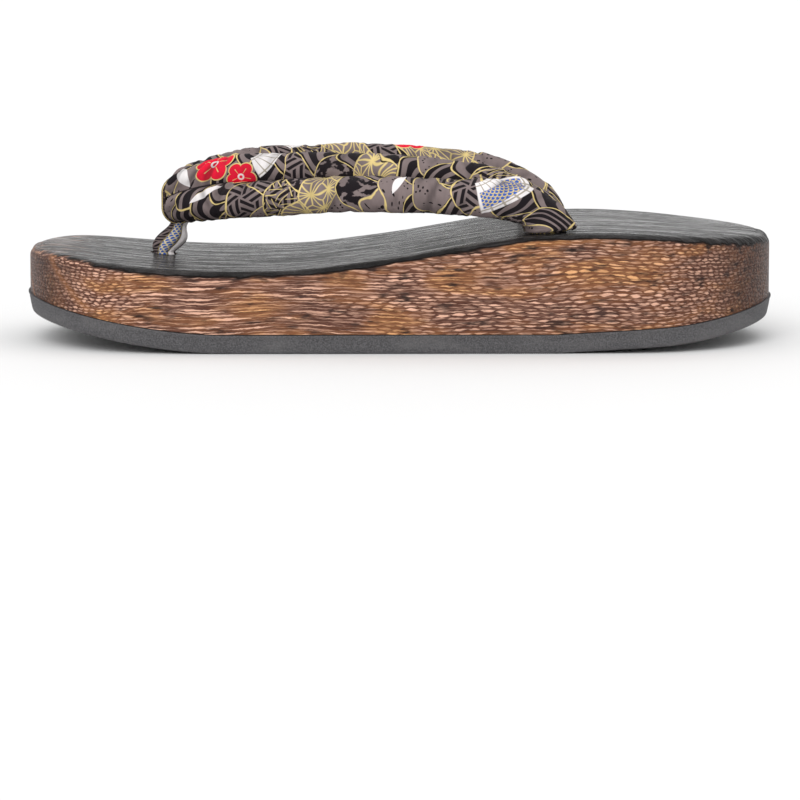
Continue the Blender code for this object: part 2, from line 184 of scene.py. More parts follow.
# The right strap from the neck on: along and out are shares of the way to the rear hole, rise, roll and
# spread of STRAP_RISE, ROLL_RADIUS and ROLL_SPREAD, and heading, dive and lean are degrees
STRAP_ROWS = rows_of(
    "along out rise heading dive lean roll spread",
    (0.040, 0.000, 0.725, 90, 0, 0, 0.62, 0.47),
    (0.040, 0.120, 0.725, 90, 0, 0, 0.62, 0.47),
    (0.043, 0.160, 0.765, 78, 0, 2, 0.75, 0.60),
    (0.056, 0.200, 0.810, 58, 0, 6, 0.84, 0.69),
    (0.087, 0.275, 0.855, 42, 0, 16, 0.91, 0.78),
    (0.144, 0.380, 0.925, 33, 0, 28, 0.95, 0.91),
    (0.242, 0.550, 1.000, 24, 0, 40, 0.97, 1.10),
    (0.439, 0.750, 1.005, 14, 0, 54, 0.95, 1.18),
    (0.629, 0.862, 0.870, 11, 2, 61, 0.95, 1.20),
    (0.765, 0.932, 0.710, 10, 8, 66, 0.97, 1.12),
    (0.856, 0.972, 0.575, 7, 20, 74, 1.05, 0.92),
    (0.928, 0.990, 0.405, 3, 42, 83, 1.13, 0.62),
    (0.978, 0.996, 0.235, 1, 68, 88, 1.24, 0.42),
)

# The straps' bases, in shares of BASE_RADIUS and ROLL_SPREAD, and the stem, in shares of its height,
# STEM_RADIUS and STEM_TWIST
BASE_ROWS = rows_of(
    "radius spread height",
    (1.00, 0.24, 0.26),
    (0.94, 0.18, 0.09),
)
STEM_ROWS = rows_of(
    "down size turn",
    (-0.06, 0.88, 0.00),
    (0.10, 0.90, 0.10),
    (0.34, 1.08, 0.34),
    (0.58, 1.16, 0.58),
    (0.80, 1.04, 0.80),
    (0.96, 0.88, 1.00),
)

# Creases of the straps, in millimetres and degrees: along from the neck, round from the outer seam up the
# upper roll, and turn 90 for a crease that runs round the strap
CREASES = rows_of(
    "side along round length width depth turn",
    (-1, 19, 8, 9, 1.3, 0.55, 60),
    (-1, 27, 12, 8, 1.2, 0.45, 105),
    (-1, 46, 9, 10, 1.4, 0.40, 80),
    (-1, 70, 12, 9, 1.3, 0.35, 95),
    (-1, 24, -7, 8, 1.2, 0.50, 120),
    (-1, 38, -9, 8, 1.2, 0.45, 75),
    (-1, 62, -8, 9, 1.3, 0.40, 100),
    (-1, 96, -7, 8, 1.2, 0.40, 85),
    (-1, 112, 7, 9, 1.5, 0.55, 110),
    (-1, 124, -6, 7, 1.3, 0.50, 70),
    (1, 18, 9, 9, 1.3, 0.55, 120),
    (1, 30, 11, 8, 1.2, 0.45, 75),
    (1, 52, 10, 10, 1.4, 0.40, 100),
    (1, 84, 9, 9, 1.3, 0.35, 85),
    (1, 22, -7, 8, 1.2, 0.50, 60),
    (1, 41, -8, 8, 1.2, 0.45, 105),
    (1, 76, -8, 9, 1.3, 0.40, 80),
    (1, 116, 8, 9, 1.5, 0.55, 70),
)


def smooth_read(rows, key, column, at):
    """Value of a column at a place between rows, on a smooth curve through them."""
    knots = [row[key] for row in rows]
    values = [row[column] for row in rows]
    at = min(max(at, knots[0]), knots[-1])
    i = 0
    while i < len(knots) - 2 and at > knots[i + 1]:
        i += 1

    def slope(j):
        low, high = max(j - 1, 0), min(j + 1, len(knots) - 1)
        return (values[high] - values[low]) / (knots[high] - knots[low])

    step = knots[i + 1] - knots[i]
    t = (at - knots[i]) / step
    start = values[i] * (2 * t**3 - 3 * t**2 + 1) + slope(i) * step * (t**3 - 2 * t**2 + t)
    end = values[i + 1] * (3 * t**2 - 2 * t**3) + slope(i + 1) * step * (t**3 - t**2)
    return start + end


def share_along(x):
    return part_of_one((x + SOLE_LENGTH / 2) / SOLE_LENGTH)


def share_of_end(x, length):
    return part_of_one((x - SOLE_LENGTH / 2 + length) / length)


def sole_underside(x):
    toe = share_of_end(-x, TOE_SPRING_LENGTH)
    ramp = share_of_end(x, HEEL_RAMP_LENGTH)
    heel = share_of_end(x, HEEL_SPRING_LENGTH)
    return TOE_SPRING * toe**TOE_SPRING_POWER + HEEL_RAMP * ramp + HEEL_SPRING * heel**HEEL_SPRING_POWER


def plan_outline():
    """Points of one half of the wood's outline, toe tip to heel tip."""
    half_ball = BALL_WIDTH / 2
    half_heel = HEEL_WIDTH / 2
    points = []
    for i in range(CAP_STEPS):
        turn = math.pi / 2 * i / CAP_STEPS
        x = -HALF_LENGTH + TOE_ROUND * (1 - math.cos(turn) ** (2 / TOE_SQUARENESS))
        points.append((x, half_ball * math.sin(turn) ** (2 / TOE_SQUARENESS)))
    side_start = -HALF_LENGTH + TOE_ROUND
    side_length = 2 * HALF_LENGTH - TOE_ROUND - HEEL_ROUND
    for i in range(SIDE_STEPS):
        t = i / SIDE_STEPS
        ease = t * t * (3 - 2 * t)
        points.append((side_start + side_length * t, half_ball + (half_heel - half_ball) * ease))
    for i in range(CAP_STEPS + 1):
        turn = math.pi / 2 * (1 - i / CAP_STEPS)
        x = HALF_LENGTH - HEEL_ROUND * (1 - max(math.cos(turn), 0.0) ** (2 / HEEL_SQUARENESS))
        points.append((x, half_heel * max(math.sin(turn), 0.0) ** (2 / HEEL_SQUARENESS)))
    return points


def moved_out(points, outset):
    """A half outline moved along its normals. Its two ends stay on the middle line."""
    moved = [(points[0][0] - outset, 0.0)]
    for (x0, y0), (x, y), (x1, y1) in zip(points, points[1:], points[2:]):
        length = math.hypot(x1 - x0, y1 - y0)
        moved.append((x - outset * (y1 - y0) / length, y + outset * (x1 - x0) / length))
    return moved + [(points[-1][0] + outset, 0.0)]


def footbed_height(x, y, reach):
    middle = HEEL_HEIGHT * smooth_read(FOOTBED, "along", "height", share_along(x))
    return middle - CROWN * min(abs(y) / max(reach, MM), 1.0) ** 2


WALL = plan_outline()
WALL_NORMALS = [(b[0] - a[0], b[1] - a[1]) for a, b in zip(WALL, moved_out(WALL, 1.0))]


def surface_height(x, y):
    """Height of the footbed under the straps."""
    reach = 0.0
    for (x0, y0), (x1, y1) in zip(WALL, WALL[1:]):
        if x0 <= x <= x1:
            reach = y0 + (y1 - y0) * (x - x0) / max(x1 - x0, 1e-9)
    return footbed_height(x, y, reach - EDGE_ROLL_WIDTH)


def tube_faces(rings, count, capped=True):
    """Faces that join each ring of count points to the next, and close the two ends if it is capped."""
    faces = []
    for start in range(0, (rings - 1) * count, count):
        for i in range(count):
            j = (i + 1) % count
            faces.append((start + i, start + j, start + count + j, start + count + i))
    if capped:
        faces += [tuple(range(count)), tuple(range((rings - 1) * count, rings * count))]
    return faces


def make_piece(name, points, faces, material, cloth=None):
    """A smooth-shaded piece of one mesh that rides on the body root."""
    mesh = bpy.data.meshes.new(name)
    mesh.from_pydata(points, [], faces)
    shape = bmesh.new()
    shape.from_mesh(mesh)
    bmesh.ops.recalc_face_normals(shape, faces=shape.faces)
    if shape.calc_volume(signed=True) < 0:
        bmesh.ops.reverse_faces(shape, faces=shape.faces)
    shape.to_mesh(mesh)
    shape.free()
    mesh.shade_smooth()
    mesh.set_sharp_from_angle(angle=math.radians(50))
    piece = bpy.data.objects.new(name, mesh)
    piece.data.materials.append(material)
    bpy.context.scene.collection.objects.link(piece)
    if cloth:
        add_cloth_map(mesh, cloth)
    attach(piece, "root")
    return piece


def add_cloth_map(mesh, cloth):
    """Three numbers at each point of a mesh, for its cloth to read."""
    layer = mesh.attributes.new("cloth", "FLOAT_VECTOR", "POINT")
    layer.data.foreach_set("vector", cloth)


def feed(tree, entry, value):
    """Links a node's entry to a Number or a socket, or sets it to a number or a colour."""
    value = getattr(value, "socket", value)
    if isinstance(value, bpy.types.NodeSocket):
        tree.links.new(value, entry)
    else:
        entry.default_value = (*value, 1.0) if isinstance(value, tuple) else value


def add_node(tree, kind, entries, **settings):
    """A shader node with its settings, and with its entries linked or set."""
    node = tree.nodes.new("ShaderNode" + kind)
    for name, value in settings.items():
        setattr(node, name, value)
    for place, value in entries.items():
        feed(tree, node.inputs[place], value)
    return node


class Number:
    """A number that varies over a surface: arithmetic on it adds Math nodes to its material."""

    def __init__(self, tree, socket):
        self.tree = tree
        self.socket = socket

    def math(self, operation, *others):
        node = add_node(self.tree, "Math", dict(enumerate((self, *others))), operation=operation)
        return Number(self.tree, node.outputs[0])

    def __add__(self, other):
        return self.math("ADD", other)

    __radd__ = __add__

    def __sub__(self, other):
        return self.math("SUBTRACT", other)

    def __rsub__(self, other):
        return self.math("MULTIPLY_ADD", -1.0, other)

    def __mul__(self, other):
        return self.math("MULTIPLY", other)

    __rmul__ = __mul__

    def __truediv__(self, other):
        return self.math("DIVIDE", other)

    def floor(self):
        return self.math("FLOOR")

    def fract(self):
        return self.math("FRACT")

    def abs(self):
        return self.math("ABSOLUTE")

    def wave(self, pitch):
        """Runs from 0 at each whole pitch to 1 half way between."""
        return 0.5 - 0.5 * (self * (2 * math.pi / pitch)).math("COSINE")

    def ramp(self, low, high):
        """0 at low and 1 at high, with a soft rise between. Low may be the larger."""
        flip = low > high
        ends = {"From Min": min(low, high), "From Max": max(low, high)}
        ends.update({"To Min": float(flip), "To Max": float(not flip)})
        node = add_node(self.tree, "MapRange", {"Value": self, **ends}, interpolation_type="SMOOTHSTEP")
        return Number(self.tree, node.outputs[0])

    def line(self, width, soft=0.12):
        """1 where this is within half a width of 0: a drawn line."""
        return self.abs().ramp(width / 2 + soft, width / 2 - soft)

    def stripes(self, pitch, width, soft=0.12):
        """1 on parallel stripes a pitch apart."""
        return (((self / pitch).fract() - 0.5) * pitch).line(width, soft)

    def pick(self, first, second):
        """First where this is 1 and second where it is 0."""
        return Number(self.tree, add_node(self.tree, "Mix", {0: self, 2: second, 3: first}).outputs[0])


class Surface:
    """A material of one Principled shader, with short ways to add the nodes that feed it."""

    def __init__(self, name):
        self.material = bpy.data.materials.new(name)
        self.material.use_nodes = True
        self.tree = self.material.node_tree
        self.shader = self.tree.nodes["Principled BSDF"]

    def add(self, kind, entries, **settings):
        return add_node(self.tree, kind, entries, **settings)

    def split(self, socket):
        return [Number(self.tree, output) for output in self.add("SeparateXYZ", {0: socket}).outputs]

    def place(self):
        """X, Y and Z of a point in millimetres."""
        return [part / MM for part in self.split(self.add("TexCoord", {}).outputs["Object"])]

    def facing(self):
        """X, Y and Z of the direction that the surface faces."""
        return self.split(self.add("TexCoord", {}).outputs["Normal"])

    def cloth(self):
        """The three numbers of the mesh's cloth map: mostly millimetres along and across, and folds."""
        return self.split(self.add("Attribute", {}, attribute_name="cloth").outputs["Vector"])

    def texture(self, kind, output, parts, **entries):
        """A texture read at the place that the parts give, where one unit is its own scale."""
        place = self.add("CombineXYZ", dict(enumerate(parts))).outputs[0]
        return Number(self.tree, self.add(kind, {"Vector": place, **entries}).outputs[output])

    def noise(self, *parts, detail=2.0, roughness=0.5):
        return self.texture("TexNoise", "Fac", parts, Scale=1.0, Detail=detail, Roughness=roughness)

    def cells(self, *parts):
        """Distance to the nearest of many points scattered about one unit apart."""
        return self.texture("TexVoronoi", "Distance", parts, Scale=1.0)

    def lot(self, *parts):
        """A number from 0 to 1 drawn for each different place, the same each run."""
        return self.texture("TexWhiteNoise", "Value", parts)

    def mix(self, factor, first, second):
        """Colour that goes from first to second as factor goes from 0 to 1."""
        return self.add("Mix", {0: factor, 6: first, 7: second}, data_type="RGBA").outputs[2]

    def bump(self, height):
        """Raises the surface by height, in millimetres."""
        return self.add("Bump", {"Distance": MM, "Height": height}).outputs[0]

    def finish(self, colour, roughness, normal, **others):
        """The material, with its shader's entries linked or set."""
        entries = {"Base Color": colour, "Roughness": roughness, "Normal": normal}
        entries.update({name.replace("_", " "): value for name, value in others.items()})
        for name, value in entries.items():
            feed(self.tree, self.shader.inputs[name], value)
        return self.material


# Colours of the cloth's print; the ink colour also serves as painted shade in the straps' seam and creases
# and in the stem's folds
TAUPE = (0.160, 0.124, 0.122)
PALE_TAUPE = (0.235, 0.186, 0.182)
INK_AND_SHADE = (0.010, 0.007, 0.009)
GOLD = (0.680, 0.530, 0.220)
WHITE = (0.780, 0.740, 0.740)
RED = (0.700, 0.008, 0.035)
BLUE = (0.040, 0.110, 0.420)
CREAM = (0.680, 0.580, 0.340)

# In millimetres, for the cotton
THREAD_PITCH = 0.42
SCALE_RADIUS = 13.0
WAVE_RADIUS = 1.5
STEM_CLOTH = 28.0

# Millimetres from one growth ring of the wood to the next
RING_PITCH = 18.5

# Accents on the print. side is 1 on the right strap and -1 on the left one, along is millimetres from the
# neck, round is millimetres from the outer seam, up the upper roll, and size is in millimetres
ACCENTS = rows_of(
    "kind side along round size turn",
    ("blossom", -1, 24, 8, 7.2, 20),
    ("blossom", -1, 35, 2, 5.5, 50),
    ("fan", -1, 36, 12, 12, 190),
    ("petal", -1, 24, -5, 6, 160),
    ("petal", -1, 13, 6, 6, 60),
    ("petal", -1, 92, -10, 5, 110),
    ("blue_fan", -1, 115, -5, 17, 195),
    ("blue_fan", 1, 33, -9, 16, 170),
    ("petal", 1, 40, 4, 6, 130),
    ("fan", 1, 58, 10, 12, 200),
    ("blossom", 1, 92, 8, 7, 50),
    ("petal", 1, 104, -5, 6, 30),
)


def squared_gap(u, v, other_u, other_v):
    a, b = u - other_u, v - other_v
    return a * a + b * b


def nearest_hexagon(u, v, pitch):
    """Where a point lies from the middle of its hexagon in a honeycomb."""
    rise = pitch * math.sqrt(3)
    first = ((u / pitch + 0.5).floor() * pitch, (v / rise + 0.5).floor() * rise)
    second = ((u / pitch).floor() * pitch + pitch / 2, (v / rise).floor() * rise + rise / 2)
    nearer = squared_gap(u, v, *first).math("LESS_THAN", squared_gap(u, v, *second))
    return [at - nearer.pick(a, b) for at, a, b in zip((u, v), first, second)]


def three_way_lines(u, v, pitch, step, width):
    """Honeycomb whose hexagons are three rhombs, each filled with lines of its own direction."""
    a, b = nearest_hexagon(u, v, pitch)
    reach, across = [], []
    for turn in (30, 150, 270):
        for turned, found in ((turn, reach), (turn - 30, across)):
            found.append(a * math.cos(math.radians(turned)) + b * math.sin(math.radians(turned)))
    first = reach[0].math("GREATER_THAN", reach[1].math("MAXIMUM", reach[2]))
    second = reach[1].math("GREATER_THAN", reach[2])
    return first.pick(across[0], second.pick(across[1], across[2])).stripes(step, width)


def hemp_leaves(u, v, pitch, width):
    """Lines of the six-pointed hemp leaf lattice: hexagons cut in six, and each sixth cut in three."""
    a, b = nearest_hexagon(u, v, pitch)
    sixth = math.pi / 3
    radius = (a * a + b * b).math("SQRT")
    folded = ((b.math("ARCTAN2", a) / sixth + 0.5).fract() - 0.5).abs() * sixth
    along = radius * folded.math("COSINE")
    beside = radius * folded.math("SINE")
    past = along - pitch / 3
    inner = beside.math("MAXIMUM", past)
    outer = (past * math.sin(sixth) - beside * math.cos(sixth)).abs().math("MAXIMUM", past * -1.0)
    spoke = (along * math.sin(sixth / 2) - beside * math.cos(sixth / 2)).abs()
    edge = (pitch / 2 - along).abs()
    return inner.math("MINIMUM", outer).math("MINIMUM", spoke).math("MINIMUM", edge).line(width)


def overlapping_scales(u, v, radius):
    """Overlapping rows of scales: where a point lies in its scale, how far out, and the scale's number."""
    step = radius / 2
    row = (v / step).floor()
    shown = None
    for k in (1, 0, -1):
        line = row + float(k)
        odd = (line * 0.5).fract()
        column = (u / (2 * radius) - odd + 0.5).floor()
        du = u - (column + odd) * (2 * radius)
        dv = v - line * step
        away = (du * du + dv * dv).math("SQRT")
        facts = (du, dv, away, column * 7.0 + line * 3.0)
        if shown is None:
            shown = facts
        else:
            inside = away.math("LESS_THAN", radius)
            shown = [inside.pick(new, old) for new, old in zip(facts, shown)]
    return shown


def draw_blossom(look, x, y, size, colour):
    """A red five-petalled blossom with gold veins and edge."""
    radius, angle = (x * x + y * y).math("SQRT"), y.math("ARCTAN2", x)
    petals = (angle * 2.5).math("COSINE").abs()
    edge = radius - (petals.math("POWER", 0.6) * 0.30 + 0.70) * size
    colour = look.mix(edge.ramp(0.35, 0.20), colour, GOLD)
    colour = look.mix(edge.ramp(-0.10, -0.25), colour, RED)
    veins = (angle * 2.5).math("SINE").abs().ramp(0.16, 0.06) * radius.ramp(size * 0.2, size * 0.3)
    colour = look.mix(veins * radius.ramp(size * 0.66, size * 0.6), colour, GOLD)
    return look.mix((radius - size * 0.16).line(0.6), colour, WHITE)


def draw_fan(look, x, y, size, colour):
    """A white folding fan, open towards x, with fine ribs."""
    radius, angle = (x * x + y * y).math("SQRT"), y.math("ARCTAN2", x)
    inside = radius.ramp(size + 0.2, size) * radius.ramp(size * 0.25, size * 0.28)
    inside = inside * angle.abs().ramp(0.92, 0.88)
    colour = look.mix(inside, colour, WHITE)
    ribs = (angle * 6.0 / math.pi * 2).stripes(1.0, 0.16, 0.06) + (radius - size * 0.93).line(0.5)
    ribs = ribs + (radius - size * 0.36).line(0.4)
    return look.mix((inside * ribs).ramp(0.1, 0.9) * 0.85, colour, (0.30, 0.26, 0.20))


def draw_blue_fan(look, x, y, size, colour):
    """A folding fan with a leaf of small blue waves edged in gold."""
    radius, angle = (x * x + y * y).math("SQRT"), y.math("ARCTAN2", x)
    waves = overlapping_scales(angle * size, radius, WAVE_RADIUS)
    blue = look.mix((waves[2] - 1.15).line(0.42, 0.15), BLUE, GOLD)
    leaf = radius.ramp(size * 0.50, size * 0.53) * radius.ramp(size * 0.90, size * 0.87)
    leaf = leaf * angle.abs().ramp(0.84, 0.80)
    return look.mix(leaf, draw_fan(look, x, y, size, colour), blue)


def draw_petal(look, x, y, size, colour):
    """A white petal, pointed at both ends."""
    inside = (y.abs() - (1.0 - (x / size) * (x / size)) * size * 0.3).ramp(0.1, -0.1)
    return look.mix(inside, colour, WHITE)


DRAW = {"blossom": draw_blossom, "fan": draw_fan, "blue_fan": draw_blue_fan, "petal": draw_petal}


def printed_cloth_colour(look, u, v):
    """Taupe cotton printed with line patterns in gold-edged scales, and a few bright accents."""
    drift_u = (look.noise(u / 19, v / 19, 0.0, detail=1.0) - 0.5) * 16.0
    drift_v = (look.noise(u / 17, v / 17, 40.0, detail=1.0) - 0.5) * 16.0
    pu, pv = u + drift_u + v.math("GREATER_THAN", 0.0) * 9.0, v + drift_v
    du, dv, away, number = overlapping_scales(pv, pu, SCALE_RADIUS)
    kind = (look.lot(number, 3.0, 0.5) * 7.0).floor()
    slant = look.lot(number, 9.0, 1.5) * math.pi
    across = du * slant.math("COSINE") + dv * slant.math("SINE")
    weave = three_way_lines(u, v, 9.6, 2.4, 1.15)
    ink_fills = {
        0: weave,
        1: (across + drift_u * 0.3).stripes(4.4, 2.9),
        2: away.stripes(5.2, 3.0),
        3: look.cells(pu / 1.9, pv / 1.9, 0.0).ramp(0.26, 0.18),
        5: look.noise(pu / 3.0, pv / 3.0, 5.0, detail=3.0).ramp(0.56, 0.50),
        6: weave,
    }
    ink = None
    for i, fill in ink_fills.items():
        mark = kind.math("COMPARE", float(i), 0.5) * fill
        ink = mark if ink is None else ink + mark
    ground = look.mix(look.noise(u / 6, v / 6, 30.0), TAUPE, PALE_TAUPE)
    colour = look.mix(ink, ground, INK_AND_SHADE)
    leaves = kind.math("COMPARE", 4.0, 0.5) * hemp_leaves(du, dv - 9.5, 12.0, 0.42)
    leaves = leaves + kind.math("COMPARE", 6.0, 0.5) * three_way_lines(pv, pu, 8.4, 2.1, 0.30)
    uneven = look.noise(u / 2.5, v / 2.5, 11.0, detail=1.0) * 0.5
    outline = (away - SCALE_RADIUS + 0.35).abs().math("SUBTRACT", uneven).ramp(0.08, -0.12)
    colour = look.mix((leaves + outline).math("MINIMUM", 1.0), colour, GOLD)
    for accent in ACCENTS:
        x, y = turned(u - accent["side"] * accent["along"], v - accent["round"], accent["turn"])
        colour = DRAW[accent["kind"]](look, x, y, accent["size"], colour)
    return colour


def threads(u, v):
    """The raised crossings of a plain weave."""
    return u.wave(THREAD_PITCH) * v.wave(THREAD_PITCH)


def make_print_cloth():
    look = Surface("printed_cotton")
    u, v, fold = look.cloth()
    colour = printed_cloth_colour(look, u, v)
    weave = threads(u, v) + look.noise(u * 2.2, v * 2.2, 3.0) * 0.5
    # Painted shade: a dark line along the pinched outer seam between the two rolls, and darkening in the
    # creases, as deep as the cloth map's folds
    seam = v.line(0.5, 0.2) * u.abs().ramp(88.0, 66.0)
    colour = look.mix((seam + fold * 0.5).math("MINIMUM", 0.9), colour, INK_AND_SHADE)
    wrinkles = look.noise(u / 1.5, v / 7.0, 8.0) * 0.5
    normal = look.bump(wrinkles + weave * 0.035)
    rough = 0.72 + look.noise(u, v, 2.0) * 0.15
    return look.finish(colour, rough, normal, Sheen_Weight=0.02, Specular_IOR_Level=0.12)


def make_stem_cloth():
    """The stem's folded strips side by side: taupe, blue scales on gold, white, black and cream, with painted
    shade in the folds between them.
    """
    look = Surface("stem_cotton")
    u, across, ahead = look.cloth()
    share = (ahead.math("ARCTAN2", across) / (2 * math.pi)).fract()
    v = share * STEM_CLOTH
    taupe = look.mix(three_way_lines(u, v, 9.6, 2.4, 1.15), TAUPE, INK_AND_SHADE)
    scales = overlapping_scales(u, v, 1.9)
    blue = look.mix(scales[2].ramp(1.25, 1.45), BLUE, CREAM)
    colour = look.mix(share.math("COMPARE", 0.50, 0.083), taupe, blue)
    colour = look.mix(share.math("COMPARE", 0.36, 0.045), colour, WHITE)
    colour = look.mix(share.math("COMPARE", 0.80, 0.050), colour, INK_AND_SHADE)
    colour = look.mix(share.math("COMPARE", 0.95, 0.040), colour, CREAM)
    edge = (share - 0.417).line(0.014, 0.006) + (share - 0.583).line(0.014, 0.006)
    colour = look.mix(edge.math("MINIMUM", 1.0), colour, GOLD)
    # Painted shade: darker in the folds between the strips, where the stem's rings are drawn in
    fold = ((share * STEM_STRIPS).fract() - 0.5).abs()
    colour = look.mix(fold.ramp(0.10, 0.0) * 0.75, colour, INK_AND_SHADE)
    normal = look.bump(threads(u, v) * 0.035 + look.noise(u / 4, v / 1.5, 3.0) * 0.3)
    return look.finish(colour, 0.8, normal, Specular_IOR_Level=0.12)


def make_band_cloth():
    """The loop's band: dark line patterns between gold edges."""
    look = Surface("band_cotton")
    u, v, _ = look.cloth()
    ground = look.mix(look.noise(u / 5, v / 5, 3.0), TAUPE, (0.105, 0.070, 0.055))
    colour = look.mix(hemp_leaves(u, v, 6.0, 0.55) * 0.9, ground, INK_AND_SHADE)
    edge = (v.abs() - 4.1).line(0.5) + (v.abs() - 3.3).line(0.2, 0.08)
    colour = look.mix(edge.math("MINIMUM", 1.0), colour, GOLD)
    normal = look.bump(threads(u, v) * 0.035 + look.noise(u / 1.2, v / 6, 3.0) * 0.35)
    return look.finish(colour, 0.8, normal, Specular_IOR_Level=0.12)


def make_lining_cloth():
    look = Surface("lining_twill")
    u, v, _ = look.cloth()
    twill = (u + v).stripes(0.7, 0.35)
    colour = look.mix(twill, (0.016, 0.015, 0.018), (0.034, 0.031, 0.036))
    normal = look.bump(twill * 0.08 + look.noise(u / 2, v / 2, 0.0) * 0.2)
    return look.finish(colour, 0.85, normal, Sheen_Weight=0.3)


def dashes(look, along, above, length, pitch, thickness):
    """Rows of tapered dashes laid like bricks, some bright and some faint, and 0 between them."""
    row = (above / pitch).floor()
    place = along / length + look.lot(row, 1.0, length)
    column = place.floor()
    half = (look.lot(row, column, 8.0) * 0.7 + 0.5) * (thickness / 2)
    shift = (look.lot(row, column, 5.0) - 0.5) * (pitch * 0.5)
    taper = (place.fract() - 0.5) * 2.0
    off = ((above / pitch).fract() - 0.5) * pitch + shift
    strength = look.lot(row, column, 2.0) * 0.8 + 0.35
    return (off.abs() - (1.0 - taper * taper) * half).ramp(0.12, -0.14) * strength


def wood_side(look, x, y, z, flow, ring, ends):
    """The sides' colour, brown with pale flecks, partly pale brushed grain and partly painted highlight, and
    darker ends, then their relief and the flecks.
    """
    bend = (look.noise(x / 12, y / 4, z / 4) - 0.5) * 1.2
    along = x.abs() - y.abs() * 2.6 + look.noise(x / 6, y / 6, z / 6) * 3.0
    above = flow + bend + look.noise(x / 2.6, y, z / 1.2)
    short = dashes(look, along, above, 5.2, 1.22, 0.78)
    long = dashes(look, along, above, 19.0, 1.22, 0.74)
    front = look.noise(x / 26, y / 12, z / 6, detail=1.0) - x / 260.0 - x.ramp(-84.0, -106.0) * 0.7
    flecks = front.ramp(0.46, 0.58).pick(long, short)
    veins = look.noise(x / 24, y / 0.9, flow / 0.9, detail=3.0, roughness=0.6)
    fine = look.noise(x / 6.0, y / 0.5, (flow + bend) / 0.42, roughness=0.6)
    patches = look.noise(x / 22, y / 8, flow / 8)
    dark = look.mix(patches.ramp(0.38, 0.62), (0.090, 0.033, 0.021), (0.185, 0.070, 0.030))
    # Pale fleck colour: partly the pale brushed grain, partly painted highlight on the raised flecks
    light = look.mix(patches.ramp(0.48, 0.68), (0.740, 0.430, 0.310), (0.720, 0.370, 0.170))
    side = look.mix((flecks + fine.ramp(0.48, 0.70) * 0.30).math("MINIMUM", 1.0), dark, light)
    side = look.mix(veins.ramp(0.56, 0.70) * 0.8, side, (0.055, 0.022, 0.016))
    side = look.mix(x.ramp(76.0, 124.0) * 0.4, side, (0.050, 0.022, 0.014))
    ringed = x.ramp(112.0, 40.0) * 0.8 + 0.2
    side = look.mix(ring.line(1.6, 1.2) * ringed * 0.45, side, (0.430, 0.180, 0.060))
    worms = look.noise(x / 0.9, y / 0.9, z / 1.3, roughness=0.6)
    grainy = look.mix(worms.ramp(0.40, 0.62), (0.014, 0.006, 0.004), (0.100, 0.046, 0.031))
    grainy = look.mix(ring.line(1.4, 1.2) * ringed * 0.6, grainy, (0.260, 0.100, 0.040))
    side = look.mix(ends * 0.85, side, grainy)
    smudge = look.noise(x / 9, y / 9, z / 3).ramp(0.60, 0.72)
    side = look.mix(smudge * 0.5, side, (0.045, 0.025, 0.022))
    return side, flecks * 0.36 + veins * 0.3 + fine * 0.12 + ends * worms * 0.3, flecks


def wood_top(look, x, y, ring):
    """The black, brushed and oiled top's colour, with painted sheen and painted highlight streaks, its
    relief, and where it shines.
    """
    broad = look.noise(x / 60, y / 7.0, 0.0, roughness=0.55)
    streak = look.noise(x / 26, y / 2.6, 8.0, detail=3.0, roughness=0.55)
    hide = look.noise(x / 5.0, y / 2.0, 4.0, detail=3.0, roughness=0.6)
    shine = (broad * 0.25 + streak * 0.5 + hide * 0.25).ramp(0.42, 0.58)
    # Painted sheen: the colour is lighter where the top shines, and the pale grey streaks are painted
    # highlights
    top = look.mix(shine, (0.010, 0.009, 0.009), (0.031, 0.028, 0.028))
    top = look.mix(streak.ramp(0.60, 0.70) * 0.4, top, (0.090, 0.075, 0.069))
    top = look.mix(ring.line(0.7, 0.9) * 0.7, top, (0.005, 0.004, 0.004))
    return top, broad * 3.0 + streak * 2.6 + hide * 2.2, shine


def make_scorched_wood():
    """Brushed, scorched and oiled wood: brown with pale flecks on its sides, near black on top."""
    look = Surface("scorched_wood")
    x, y, z = look.place()
    facing = look.facing()
    sway = (look.noise(x / 60, y / 24, z / 24, detail=1.0) - 0.5) * 8.0
    ring = (((y * -0.82 + z * 0.57 + sway * 0.3) / RING_PITCH).fract() - 0.5) * RING_PITCH
    ends = facing[0].abs().ramp(0.40, 0.88)
    side, side_relief, flecks = wood_side(look, x, y, z, z + sway, ring, ends)
    top, top_relief, shine = wood_top(look, x, y, ring)
    ragged = (look.noise(x / 8, y / 2, z / 2, detail=3.0) - 0.5) * 1.1 - x.ramp(-84.0, -118.0) * 0.70
    # A dark band along the rolled edge between side and top: partly the darker char of the edge, partly
    # painted shade on the roll
    edge_char_and_shade = (facing[2] + ragged).ramp(0.04, 0.26)
    up = (facing[2] + ragged).ramp(0.26, 0.50)
    colour = look.mix(up, look.mix(edge_char_and_shade * 0.9, side, (0.018, 0.010, 0.009)), top)
    normal = look.bump(up.pick(top_relief, side_relief) + ring.line(1.4, 0.9) * 0.25)
    rough = up.pick(0.60 - shine * 0.26, 0.46 - flecks * 0.10)
    gloss = facing[2].ramp(0.80, 0.98) * (shine * 0.56 + 0.28) + 0.04
    coat = {"Coat_Weight": gloss, "Coat_Normal": normal, "Coat_Roughness": 0.14}
    return look.finish(colour, rough, normal, Specular_IOR_Level=0.14, **coat)


def make_rubber():
    look = Surface("grey_rubber")
    x, y, z = look.place()
    speckle = look.noise(x / 0.5, y / 0.5, z / 0.5, detail=3.0, roughness=0.7)
    cloudy = look.noise(x / 18, y / 18, z / 6, detail=3.0)
    colour = look.mix(speckle.ramp(0.35, 0.70), (0.052, 0.051, 0.054), (0.130, 0.126, 0.132))
    colour = look.mix(cloudy.ramp(0.45, 0.75) * 0.4, colour, (0.150, 0.145, 0.146))
    normal = look.bump(speckle * 0.25 + cloudy * 0.3)
    return look.finish(colour, 0.62 + speckle * 0.15, normal, Specular_IOR_Level=0.35)


